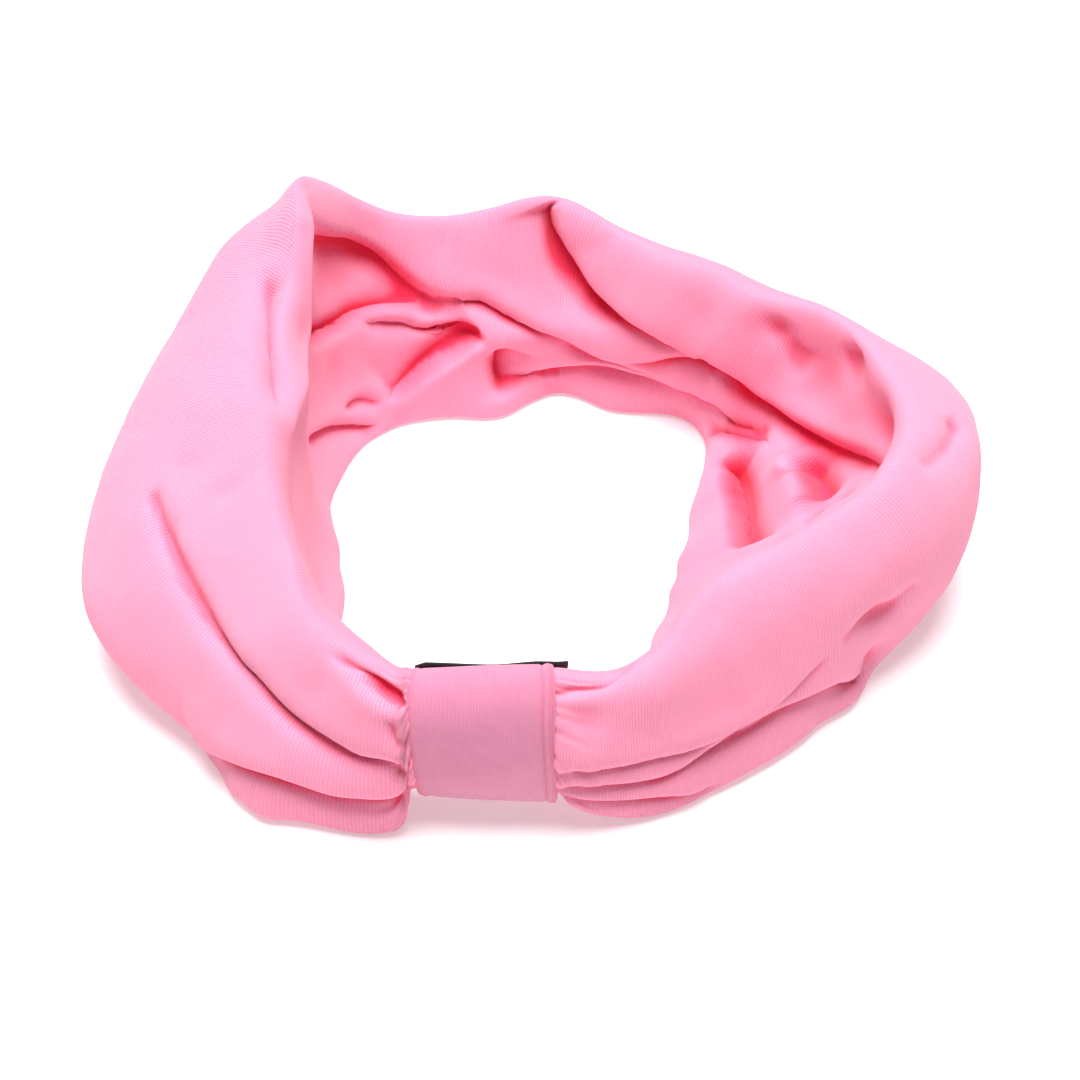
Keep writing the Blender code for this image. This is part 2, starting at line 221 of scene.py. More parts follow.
def fold(P, path, deep=3.0, wide=4.0, near=None, lip=0.0, lip_wide=6.0, over=0.0, over_wide=None,
         other=0.0, other_wide=None, side=1, power=1.2, ends=(4, 4)):
    """Presses a crease into grid P (mm) along path rows of (loop, section, strength 0..1).

    The valley goes `deep` into the cloth, `wide` on one side and `near` on the other.  On that side of it the cloth stands up by `lip` and is
    carried `over` the valley; `other` raises the far side.  side picks which side is which."""
    rows = smooth_path(path, 24)
    N = grid_normals(P)
    Q = sample_grid(P, rows[:, 0], rows[:, 1])
    run = np.concatenate([[0.0], np.cumsum(np.linalg.norm(np.diff(Q, axis=0), axis=1))])
    even = np.linspace(0, run[-1], max(12, int(run[-1] / 0.3)))
    rows = np.stack([np.interp(even, run, rows[:, c]) for c in range(3)], 1)
    strength = np.clip(rows[:, 2], 0, None)
    Q = sample_grid(P, rows[:, 0], rows[:, 1])
    for _ in range(6):
        Q[1:-1] = 0.5 * Q[1:-1] + 0.25 * (Q[:-2] + Q[2:])
    Nq = sample_grid(N, rows[:, 0], rows[:, 1])
    Nq /= np.linalg.norm(Nq, axis=1, keepdims=True)
    run = np.concatenate([[0.0], np.cumsum(np.linalg.norm(np.diff(Q, axis=0), axis=1))])
    for s, reach_end in ((run, ends[0]), (run[-1] - run, ends[1])):
        if reach_end:
            t = np.clip(s / reach_end, 0, 1)
            strength = strength * t * t * (3 - 2 * t)
    T = np.gradient(Q, axis=0)
    T /= np.maximum(np.linalg.norm(T, axis=1, keepdims=True), 1e-9)
    B = np.cross(T, Nq) * side
    over_wide = over_wide or wide * 1.6
    other_wide = other_wide or lip_wide
    reach = 3.2 * max(wide, lip_wide if lip else 0, over_wide if over else 0, other_wide if other else 0)
    lo, hi = Q.min(0) - reach, Q.max(0) + reach
    flat = P.reshape(-1, 3)
    pick = np.where(((flat > lo) & (flat < hi)).all(1))[0]
    nf = N.reshape(-1, 3)
    for part in np.array_split(pick, max(1, len(pick) * len(Q) // 6000000)):
        p = flat[part]
        d2 = ((p[:, None, :] - Q[None]) ** 2).sum(2)
        i = d2.argmin(1)
        dist = np.sqrt(d2[np.arange(len(p)), i])
        rel = p - Q[i]
        lat = (rel * B[i]).sum(1)
        s = np.where(lat >= 0, dist, -dist)
        face = (nf[part] * Nq[i]).sum(1)
        face = np.clip((face + 0.1) / 0.6, 0, 1)
        k = strength[i] * face * face * (3 - 2 * face)
        a = np.abs(s)
        fade = np.clip(1.2 - a / reach, 0, 1)
        k = k * np.clip(fade * 2.0, 0, 1)
        up = -deep * np.exp(-(a / np.where(s >= 0, near or wide, wide)) ** power)
        hump = lambda x, w: (x / w) * np.exp(1 - x / w)
        pos = s >= 0
        up = up + np.where(pos, lip * hump(a, lip_wide * 0.45), other * hump(a, other_wide * 0.45))
        slide = np.where(pos, -over * np.exp(-(a / over_wide) ** 2), -0.25 * over * np.exp(-(a / wide) ** 2))
        flat[part] = p + (k * up)[:, None] * nf[part] + (k * slide)[:, None] * B[i]
    return flat.reshape(P.shape)


def bump(P, u, w, height, ru, rw, turn=0.0):
    """Soft swelling (or hollow) of the cloth: radii in mm along the loop and along the section."""
    c = sample_grid(P, [u], [w])[0]
    c2 = sample_grid(P, [u + 1.0], [w])[0]
    c3 = sample_grid(P, [u], [w + 0.05])[0]
    eu = (c2 - c) / np.linalg.norm(c2 - c)
    ew = c3 - c
    ew -= eu * (ew @ eu)
    ew /= np.linalg.norm(ew)
    ca, sa = math.cos(math.radians(turn)), math.sin(math.radians(turn))
    a, b = eu * ca + ew * sa, ew * ca - eu * sa
    N = grid_normals(P)
    rel = P - c
    x, y = rel @ a / ru, rel @ b / rw
    z = rel @ np.cross(a, b) / (1.5 * max(ru, rw))
    k = np.exp(-(x * x + y * y + z * z))
    nc = sample_grid(N, [u], [w])[0]
    face = np.clip((N @ nc + 0.1) / 0.6, 0, 1)
    return P + (height * k * face)[..., None] * N


def relax(P, times, amount=0.5):
    for _ in range(times):
        avg = (np.roll(P, 1, 0) + np.roll(P, -1, 0) + np.roll(P, 1, 1) + np.roll(P, -1, 1)) / 4
        P = P + amount * (avg - P)
    return P


# --- folds begin
FOLDS = [
    dict(path=[(491.6, 3.89, 0.6), (493.8, 3.76, 1), (496.2, 3.70, 1), (501.2, 3.50, 1), (508.4, 3.24, 1), (532.4, 3.60, 0.9), (549.2, 3.46, 0.6)],
         ends=(6, 8), deep=-2.4, wide=5.0, near=3.5, power=1.0, side=1),   # EDGE
    dict(path=[(491.9, 3.73, 0.5), (489.6, 3.54, 1), (486.8, 3.42, 1), (482.7, 3.31, 1), (479.5, 3.32, 1), (475.7, 3.27, 1), (473.2, 3.12, 1), (470.4, 2.91, 0.9), (467.3, 2.74, 0.8), (463.2, 2.72, 0.7)],
         ends=(7, 8), deep=6.0, wide=6.5, near=1.6, side=-1, lip=0.8, lip_wide=8, over=1.8, power=1.4),   # H1
    dict(path=[(360.7, 2.74, 0.6), (362.4, 2.45, 1), (361.1, 2.09, 1), (359.4, 1.78, 0.8)],
         ends=(10, 10), deep=5.0, wide=7.0, near=2.0, lip=0.6, lip_wide=8, over=1.4, side=-1, power=1.3),   # RR
    dict(path=[(446.2, 3.94, 1), (445.2, 3.60, 1.4), (444.2, 3.42, 1.5), (442.2, 3.23, 1.5), (437.8, 2.94, 1.3), (430.0, 2.71, 1.1), (420.4, 2.60, 1), (411.2, 2.51, 1), (402.0, 2.49, 1), (397.3, 2.40, 1), (388.5, 2.48, 1), (381.4, 2.60, 1), (373.9, 2.78, 0.9), (365.4, 3.03, 0.7), (356.9, 3.27, 0.4)],
         ends=(1, 6), deep=5.0, wide=5.5, near=1.6, lip=1.6, lip_wide=8, over=2.4, side=-1, power=1.3),   # G
    dict(path=[(549.0, 5.16, 0), (553.6, 5.08, 0.8), (559.8, 5.04, 1), (565.8, 5.04, 1), (572.2, 5.08, 1), (581.4, 5.18, 1), (590.8, 5.24, 1), (597.5, 5.45, 1), (601.0, 5.58, 0.9), (604.4, 5.69, 0.8), (608.4, 6.66, 0.7)],
         ends=(6, 0), deep=4.2, wide=2.8, lip=1.0, lip_wide=7, side=-1, other=1.2, other_wide=8, over=0.8, near=2.0),   # Q
    dict(path=[(577.4, 6.73, 1), (586.1, 6.38, 1), (595.0, 6.23, 1), (598.0, 6.23, 1), (600.0, 6.23, 1), (602.2, 6.18, 1), (605.3, 6.38, 1), (611.4, 7.74, 0.8)],
         ends=(6, 0), deep=4.5, wide=3.0, near=1.2, lip=1.8, lip_wide=7, over=2.0, side=-1),   # R
    dict(path=[(502.5, 2.86, 0.6), (494.7, 2.55, 1), (486.9, 2.31, 1), (482.1, 2.39, 1), (477.7, 2.55, 0.9), (473.7, 2.71, 0.7), (470.5, 2.77, 0.4)],
         deep=5.0, wide=4.5, near=1.5, lip=1.8, lip_wide=5, over=1.6, side=1),   # A
    dict(path=[(481.2, 0.70, 0.2), (476.6, 0.90, 0.7), (471.2, 1.19, 1), (465.8, 1.52, 1), (462.7, 1.76, 1), (459.5, 1.98, 0.7)],
         deep=6.6, wide=9.0, near=1.6, lip=1.8, lip_wide=6, over=1.5, side=1, power=1.4),   # C
    dict(path=[(466.7, 2.72, 0.6), (463.2, 2.74, 0.8), (459.4, 2.73, 0.9), (455.3, 2.51, 0.9), (451.4, 2.27, 0.9), (444.3, 1.74, 1), (436.0, 1.46, 1), (426.9, 1.66, 1), (419.9, 2.10, 1), (411.1, 2.38, 0.7), (404.3, 2.57, 0.3)],
         deep=4.5, wide=3.6, near=1.3, lip=1.0, lip_wide=6, over=1.6, side=-1),   # Hb
    dict(path=[(450.1, 0.72, 0.5), (447.4, 0.80, 1), (442.7, 0.91, 1), (435.2, 1.11, 1), (428.0, 1.08, 1), (418.0, 1.05, 1), (406.2, 1.54, 1), (398.3, 1.86, 1), (392.1, 2.03, 0.6)],
         deep=3.6, wide=3.0, near=1.2, lip=0.6, lip_wide=4, over=1.4, side=-1),   # I
    dict(path=[(397.4, 1.13, 0.7), (392.0, 1.07, 1), (387.2, 1.01, 1), (379.7, 1.05, 1), (370.3, 1.10, 1), (361.1, 1.09, 1)],
         ends=(3, 4), deep=8.5, wide=7.5, near=2.0, lip=0.8, lip_wide=7, over=1.6, side=1, power=1.6),   # J
    dict(path=[(381.4, 2.25, 0.7), (378.4, 2.24, 1), (374.6, 2.23, 1), (370.8, 2.23, 1), (366.5, 2.24, 0.7)],
         ends=(5, 4), deep=6.5, wide=4.0, power=1.4),   # M
    dict(path=[(386.1, 1.91, 0.6), (382.0, 1.90, 1), (377.5, 1.90, 1), (372.3, 1.90, 1), (365.6, 1.89, 0.9)],
         ends=(6, 4), deep=-4.6, wide=3.2, power=1.3),   # L
    dict(path=[(409.1, 0.65, 0.6), (401.5, 1.38, 1), (397.3, 1.58, 1), (393.5, 1.71, 1), (388.5, 1.88, 0.7)],
         ends=(3, 5), deep=4.0, wide=3.4, near=1.2, lip=0.8, lip_wide=4, over=1.2, side=1),   # Z
    dict(path=[(395.9, 3.78, 0.6), (396.3, 3.57, 1), (397.2, 3.40, 1), (398.3, 3.27, 0.6)],
         ends=(5, 5), deep=1.8, wide=4.4, near=3.0, power=1.6),   # R1
    dict(path=[(393.0, 3.53, 0.6), (393.3, 3.33, 1), (391.7, 3.18, 1), (388.8, 3.07, 0.8)],
         ends=(5, 6), deep=2.2, wide=4.6, near=3.0, power=1.6),   # R2
    dict(path=[(378.8, 4.18, 0.6), (378.9, 3.86, 1), (381.4, 3.63, 1), (383.7, 3.47, 0.6)],
         ends=(5, 5), deep=2.2, wide=4.4, near=3.0, power=1.6),   # R3
    dict(path=[(483.1, 2.18, 0.4), (477.5, 2.25, 1), (473.2, 2.29, 1), (468.1, 2.24, 1), (463.9, 2.17, 0.9), (460.1, 2.09, 0.4)],
         deep=3.4, wide=3.6, near=1.1, lip=0.8, lip_wide=4, over=0.9, side=-1),   # B
    dict(path=[(511.5, 1.54, 0.5), (503.9, 1.27, 0.9), (496.3, 1.00, 1), (489.4, 0.70, 1), (483.3, 0.36, 0.6)],
         deep=3.4, wide=2.6, near=1.0, lip=1.2, lip_wide=5, over=1.4, side=-1),   # E
    dict(path=[(454.0, 1.66, 0.5), (455.0, 1.41, 1), (455.3, 1.12, 1.1), (454.9, 0.84, 1), (453.9, 0.54, 0.7)],
         ends=(5, 4), deep=6.5, wide=4.2, power=1.5),   # V
    dict(path=[(454.2, 0.86, 0.3), (450.5, 0.84, 1), (444.4, 0.82, 0.6)],
         deep=2.6, wide=2.2, near=1.0, over=0.9, side=-1),   # V2
    dict(path=[(444.3, 1.52, 0.5), (438.2, 1.33, 1), (432.1, 1.30, 1), (426.1, 1.28, 1), (421.1, 1.25, 1), (412.1, 1.38, 0.6)],
         deep=2.2, wide=2.2, near=1.0, lip=0.6, lip_wide=4, over=0.8, side=-1),   # H2
    dict(path=[(492.4, 1.02, 0.6), (489.4, 1.06, 0.9), (486.1, 1.02, 1), (483.3, 0.87, 0.8), (481.0, 0.72, 0.5)],
         deep=2.2, wide=2.2, near=1.1, lip=0.8, lip_wide=4, over=0.7, side=-1),   # D
    dict(path=[(502.8, 4.65, 0.8), (507.1, 4.51, 1.2), (513.3, 4.34, 1.3), (523.3, 4.18, 1.3), (534.4, 3.98, 1.1), (544.1, 3.72, 0.6)],
         ends=(9, 14), deep=4.2, wide=4.6, power=1.6, other=0.6, lip=0.6, lip_wide=7),   # S1
    dict(path=[(600.0, 4.58, 0.3), (602.5, 4.58, 1), (604.1, 4.70, 1), (607.0, 5.04, 1)],
         ends=(5, 1), deep=3.4, wide=2.4, near=1.4, lip=0.8, lip_wide=4, side=1),   # T
    dict(path=[(598.0, 4.47, 0.3), (599.8, 4.39, 0.9), (601.5, 4.47, 1), (603.5, 4.63, 1), (606.7, 4.84, 1)],
         ends=(5, 0), deep=2.8, wide=2.6, near=1.2, lip=0.8, lip_wide=4, side=1),   # T3
    dict(path=[(603.0, 4.95, 0.4), (604.1, 5.08, 1), (604.5, 5.29, 1), (606.6, 5.62, 1)],
         ends=(3, 0), deep=2.8, wide=2.2, near=1.1, lip=0.6, lip_wide=3, side=1),   # T4
    dict(path=[(273.5, 4.78, 0.7), (277.8, 4.47, 1), (281.0, 4.33, 1), (284.2, 3.96, 0.7), (288.7, 3.38, 0.2)],
         ends=(0, 6), deep=2.6, wide=2.6, near=1.0, lip=0.5, lip_wide=4, over=0.7, side=1),   # TR
    dict(path=[(271.5, 7.04, 0.8), (278.5, 6.38, 1), (281.7, 6.04, 1), (286.0, 5.81, 1), (290.4, 5.82, 1), (298.8, 6.05, 1), (305.2, 6.13, 0.9), (312.3, 6.07, 0.7), (318.7, 5.94, 0.4), (323.2, 5.94, 0.1)],
         ends=(0, 6), deep=2.2, wide=2.4, near=1.2, lip=0.9, lip_wide=6, over=0.9, side=-1),   # N
    dict(path=[(272.3, 7.47, 0.9), (279.1, 6.78, 1), (282.5, 6.41, 1), (286.0, 6.19, 1), (290.3, 6.16, 1), (298.7, 6.23, 1), (305.1, 6.27, 1), (314.0, 6.32, 1), (321.8, 6.60, 1.1), (328.3, 7.03, 1.2), (332.5, 7.21, 1.1)],
         ends=(0, 3), deep=3.0, wide=2.6, near=1.2, lip=1.0, lip_wide=6, over=1.2, side=-1),   # O
    dict(path=[(273.1, 7.78, 0.8), (276.9, 7.43, 1), (280.1, 7.19, 1), (285.3, 6.70, 1), (290.2, 6.69, 1), (296.1, 7.09, 0.6), (300.6, 7.17, 0.1)],
         ends=(0, 6), deep=3.0, wide=2.2, near=1.0, lip=0.7, lip_wide=4, over=1.0, side=-1),   # P
    dict(path=[(362.1, 5.05, 0.6), (361.0, 5.19, 1), (356.0, 5.06, 1), (350.5, 4.82, 0.8), (346.7, 4.58, 0.3)],
         deep=2.0, wide=3.0, power=1.5),   # X
    dict(path=[(322.8, 5.95, 0.2), (327.5, 5.91, 0.8), (330.4, 5.98, 1), (333.8, 6.14, 1), (335.9, 6.08, 0.6), (339.7, 6.03, 0.2)],
         deep=2.4, wide=3.2, power=1.4),   # Y
]
BUMPS = [            # loop, section, height, reach along the loop, reach along the section
    (482.9, 2.92, -6, 13, 12),   # pocket
    (488.6, 3.55, -2, 6, 7),   # peakhollow
    (443.8, 3.17, -3, 5, 12),   # ghollow
    (438.8, 2.77, -1.8, 7, 7),   # gh2
    (398.4, 3.42, -1.4, 6, 5),   # r1
    (387.6, 3.22, -2, 8, 8),   # r2
    (363.8, 3.37, -5, 9, 7),   # r3
    (413.2, 3.30, -1, 10, 6),   # r4
    (278.6, 5.19, -1.8, 6, 5),   # front_r
    (300.3, 4.32, -1.4, 10, 6),   # front_r2
    (289.8, 4.80, 0.9, 10, 8),   # front_r3
    (329.0, 7.48, 3.4, 8, 6),   # lobe_r
    (330.5, 6.04, -1.6, 5, 4),   # spotY
    (549.3, 4.65, -1.4, 9, 14),   # left1
    (559.1, 4.40, -1.2, 5, 10),   # left2
    (587.1, 4.87, 1, 10, 8),   # left3
    (566.3, 5.41, 0.8, 12, 10),   # left4
    (560.6, 4.88, -1, 5, 9),   # leftd
    (595.5, 7.49, 2, 5, 4),   # tip
    (379.3, 3.57, -1.2, 5, 5),   # r2b
    (331.7, 7.01, -2.6, 5, 6),   # notch_r
    (450.8, 1.14, -2.2, 8, 6),   # vlow
]
# --- folds end
for b in BUMPS:
    P = bump(P, *b)
for f in FOLDS:
    P = fold(P, **f)
# the corner at the highest point of the rim
P = fold(P, [(491.5, 3.35, 0.5), (491.5, 3.7, 1), (491.5, 4.0, 1), (491.5, 4.2, 0.6)],
         deep=-1.8, wide=4.5, power=1.0, ends=(4, 6))
# long slack folds on the outside of the rear
P = fold(P, [(400, 6.6, 0.5), (412, 6.15, 0.9), (426, 6.1, 1), (440, 5.85, 0.9), (452, 5.9, 0.8), (464, 6.35, 0.5)],
         deep=2.1, wide=4.4, near=2.2, lip=1.0, lip_wide=7, over=0.6, side=1, ends=(18, 18), power=1.4)
P = fold(P, [(436, 7.25, 0.6), (448, 6.95, 1), (461, 6.8, 1), (474, 6.9, 1), (486, 7.2, 0.6)],
         deep=2.2, wide=3.2, near=1.4, lip=0.9, lip_wide=6, over=1.0, side=1, ends=(12, 12))
P = fold(P, [(468, 5.85, 0.5), (478, 5.95, 1), (488, 6.2, 1), (497, 6.6, 0.6)],
         deep=1.8, wide=4.0, near=2.4, lip=0.6, lip_wide=6, side=1, ends=(10, 10), power=1.5)
P = fold(P, [(374, 7.3, 0.5), (386, 7.0, 1), (399, 6.9, 1), (410, 7.1, 0.5)],
         deep=2.0, wide=3.4, near=1.6, lip=0.8, lip_wide=6, over=0.8, side=1, ends=(12, 12))


def waves(P, length, height, seed, count=10):
    """Slow uneven undulation of the cloth, as a smooth field in space."""
    rng = np.random.default_rng(seed)
    d = rng.normal(size=(count, 3))
    d /= np.linalg.norm(d, axis=1, keepdims=True)
    d *= 2 * math.pi / (length * rng.uniform(0.7, 1.5, (count, 1)))
    ph = rng.uniform(0, 2 * math.pi, count)
    f = np.sin(P @ d.T + ph).sum(-1) / math.sqrt(count / 2)
    return P + (height * f)[..., None] * grid_normals(P)


P = waves(P, 34.0, 0.24, 3)
P = waves(P, 13.0, 0.09, 5)
P = relax(P, 2)
# inside the ring the tube is simply bunched; fine gathers fan out of both its edges
off_ring = np.abs(P[..., 0] - RING_X) - RING_W / 2
near_ring = (P[..., 1] < RING_Y + 30) & (off_ring < 30)
keep = np.clip((off_ring + 0.6) / 2.2, 0, 1)
keep = np.where(near_ring, keep * keep * (3 - 2 * keep), 1.0)[..., None]
P = BASE + (P - BASE) * keep
rise = np.where(near_ring, np.exp(-(np.maximum(off_ring - 0.5, 0) / 6.5) ** 1.4), 0.0)
ww = W[None, :] + 0.12 * np.sin(U[:, None] * 0.09)
gather = (0.55 * np.sin(2 * math.pi * 1.7 * ww + 0.6 * np.sin(2 * math.pi * 0.3 * ww)) + 0.45 * np.sin(2 * math.pi * 2.9 * ww + 1.1)
          + 0.25 * np.sin(2 * math.pi * 4.6 * ww + 2.0))
P = P + (rise * (0.34 * gather - 0.10))[..., None] * grid_normals(P)
edge = np.minimum(np.abs(U - 272.0), np.abs(U - 611.0))
soft = np.clip(1.2 - edge / 6.0, 0, 1)[:, None, None]
for _ in range(3):
    P = P + soft * (relax(P, 1) - P)
P[..., 2] = np.where(P[..., 2] < 0.9, 0.9 * np.exp(np.minimum(P[..., 2] - 0.9, 0) / 0.9), P[..., 2])


def grid_mesh(name, P, uv=None, closed_u=True, closed_v=True, seam_v=0):
    """Quad mesh from a grid.  uv is (nu + closed_u, nv + closed_v, 2), its second axis starting at seam_v."""
    nu, nv = P.shape[:2]
    iu = np.arange(nu if closed_u else nu - 1)
    iv = np.arange(nv if closed_v else nv - 1)
    a, b = np.meshgrid(iu, iv, indexing="ij")
    a2, b2 = (a + 1) % nu, (b + 1) % nv
    quads = np.stack([a * nv + b, a * nv + b2, a2 * nv + b2, a2 * nv + b], -1).reshape(-1, 4)
    me = bpy.data.meshes.new(name)
    me.from_pydata((P.reshape(-1, 3) * MM).tolist(), [], quads.tolist())
    me.shade_smooth()
    if uv is not None:
        k = (b - seam_v) % nv if closed_v else b
        quad_uv = np.stack([uv[a, k], uv[a, k + 1], uv[a + 1, k + 1], uv[a + 1, k]], 2)
        layer = me.uv_layers.new(name="Knit")
        layer.data.foreach_set("uv", quad_uv.reshape(-1).astype(np.float32))
    ob = bpy.data.objects.new(name, me)
    bpy.context.scene.collection.objects.link(ob)
    return ob


def openness(P, step=3, rays=28, reach=70.0):
    """0..1 per grid point: how much of the half-space in front of the cloth is clear of other cloth."""
    from mathutils.bvhtree import BVHTree
    C = P[::step, ::step]
    n1, n2 = C.shape[:2]
    a, b = np.meshgrid(np.arange(n1), np.arange(n2), indexing="ij")
    a2, b2 = (a + 1) % n1, (b + 1) % n2
    quads = np.stack([a * n2 + b, a * n2 + b2, a2 * n2 + b2, a2 * n2 + b], -1).reshape(-1, 4)
    tree = BVHTree.FromPolygons(C.reshape(-1, 3).tolist(), quads.tolist())
    N = grid_normals(C).reshape(-1, 3)
    Q = C.reshape(-1, 3) + N * 0.35
    k = np.arange(rays)
    r = np.sqrt((k + 0.5) / rays)
    t = k * 2.39996323
    local = np.stack([r * np.cos(t), r * np.sin(t), np.sqrt(1 - r * r)], 1)
    helper = np.where(np.abs(N[:, 2:3]) < 0.9, np.array([[0, 0, 1.0]]), np.array([[1.0, 0, 0]]))
    X = np.cross(helper, N)
    X /= np.linalg.norm(X, axis=1, keepdims=True)
    Y = np.cross(N, X)
    clear = np.zeros(len(Q))
    for l in local:
        D = X * l[0] + Y * l[1] + N * l[2]
        for i, (q, d) in enumerate(zip(Q.tolist(), D.tolist())):
            hit = tree.ray_cast(q, d, reach)[3]
            if hit is None:
                clear[i] += 1.0
            else:
                clear[i] += 0.35 * hit / reach
    A = (clear / rays).reshape(n1, n2)
    for _ in range(2):
        A = 0.5 * A + 0.125 * (np.roll(A, 1, 0) + np.roll(A, -1, 0) + np.roll(A, 1, 1) + np.roll(A, -1, 1))
    nu, nv = P.shape[:2]
    fu, fv = np.arange(nu) / step, np.arange(nv) / step
    iu, iv = np.floor(fu).astype(int), np.floor(fv).astype(int)
    tu, tv = (fu - iu)[:, None], (fv - iv)[None, :]
    g = lambda i, j: A[np.ix_(i % n1, j % n2)]
    return (g(iu, iv) * (1 - tu) * (1 - tv) + g(iu + 1, iv) * tu * (1 - tv)
            + g(iu, iv + 1) * (1 - tu) * tv + g(iu + 1, iv + 1) * tu * tv)


def hollow(P, times=14):
    """Depth in mm of the cloth below its own smoothed surface (positive in a crease)."""
    return ((relax(P, times, 1.0) - P) * grid_normals(P)).sum(-1)


def point_values(ob, name, values):
    layer = ob.data.attributes.new(name, "FLOAT", "POINT")
    layer.data.foreach_set("value", np.asarray(values, np.float32).reshape(-1))


def knit_uv(P, wales, course, seam_v):
    """Counts of wales along the loop and of courses round the section, one unit each."""
    nu, nv = P.shape[:2]
    roll = np.roll(P, -seam_v, 1)
    step = np.linalg.norm(np.diff(np.concatenate([roll, roll[:, :1]], 1), axis=1), axis=2)
    cum = np.concatenate([np.zeros((nu, 1)), np.cumsum(step, 1)], 1)
    k = 21
    pad = np.concatenate([cum[-k:], cum, cum[:k]], 0)
    cum = sum(pad[k + j:k + j + nu] for j in range(-k, k + 1)) / (2 * k + 1)
    cum = cum - cum[:, nv // 2:nv // 2 + 1]
    cum = np.concatenate([cum, cum[:1]], 0)
    mid = P.mean(1)
    along = np.linalg.norm(np.diff(np.concatenate([mid, mid[:1]], 0), axis=0), axis=1)
    run = np.concatenate([[0.0], np.cumsum(along)])
    run = run / run[-1] * wales
    return np.stack([np.repeat(run[:, None], nv + 1, 1), cum / course], -1)


# ------------------------------------------------------------------ materials
class Nodes:
    def __init__(self, name):
        self.mat = bpy.data.materials.new(name)
        self.mat.use_nodes = True
        self.tree = self.mat.node_tree
        self.bsdf = self.tree.nodes["Principled BSDF"]

    def new(self, kind, **props):
        n = self.tree.nodes.new(kind)
        for k, v in props.items():
            setattr(n, k, v)
        return n

    def put(self, socket, value):
        if isinstance(value, bpy.types.NodeSocket):
            self.tree.links.new(value, socket)
        else:
            socket.default_value = value

    def math(self, op, a, b=0.0, c=0.0, clamp=False):
        n = self.new("ShaderNodeMath", operation=op, use_clamp=clamp)
        for i, v in enumerate((a, b, c)):
            if i < len(n.inputs):
                self.put(n.inputs[i], v)
        return n.outputs[0]

    def mix(self, fac, a, b):
        n = self.new("ShaderNodeMix", data_type="RGBA")
        self.put(n.inputs[0], fac)
        for sock, v in ((n.inputs[6], a), (n.inputs[7], b)):
            self.put(sock, (*v, 1.0) if isinstance(v, tuple) and len(v) == 3 else v)
        return n.outputs[2]

    def remap(self, v, a, b, c, d):
        n = self.new("ShaderNodeMapRange")
        for i, x in enumerate((v, a, b, c, d)):
            self.put(n.inputs[i], x)
        return n.outputs[0]

    def noise(self, vec, scale, detail=2.0, rough=0.5):
        n = self.new("ShaderNodeTexNoise")
        self.put(n.inputs["Vector"], vec)
        n.inputs["Scale"].default_value = scale
        n.inputs["Detail"].default_value = detail
        n.inputs["Roughness"].default_value = rough
        return n.outputs["Fac"]


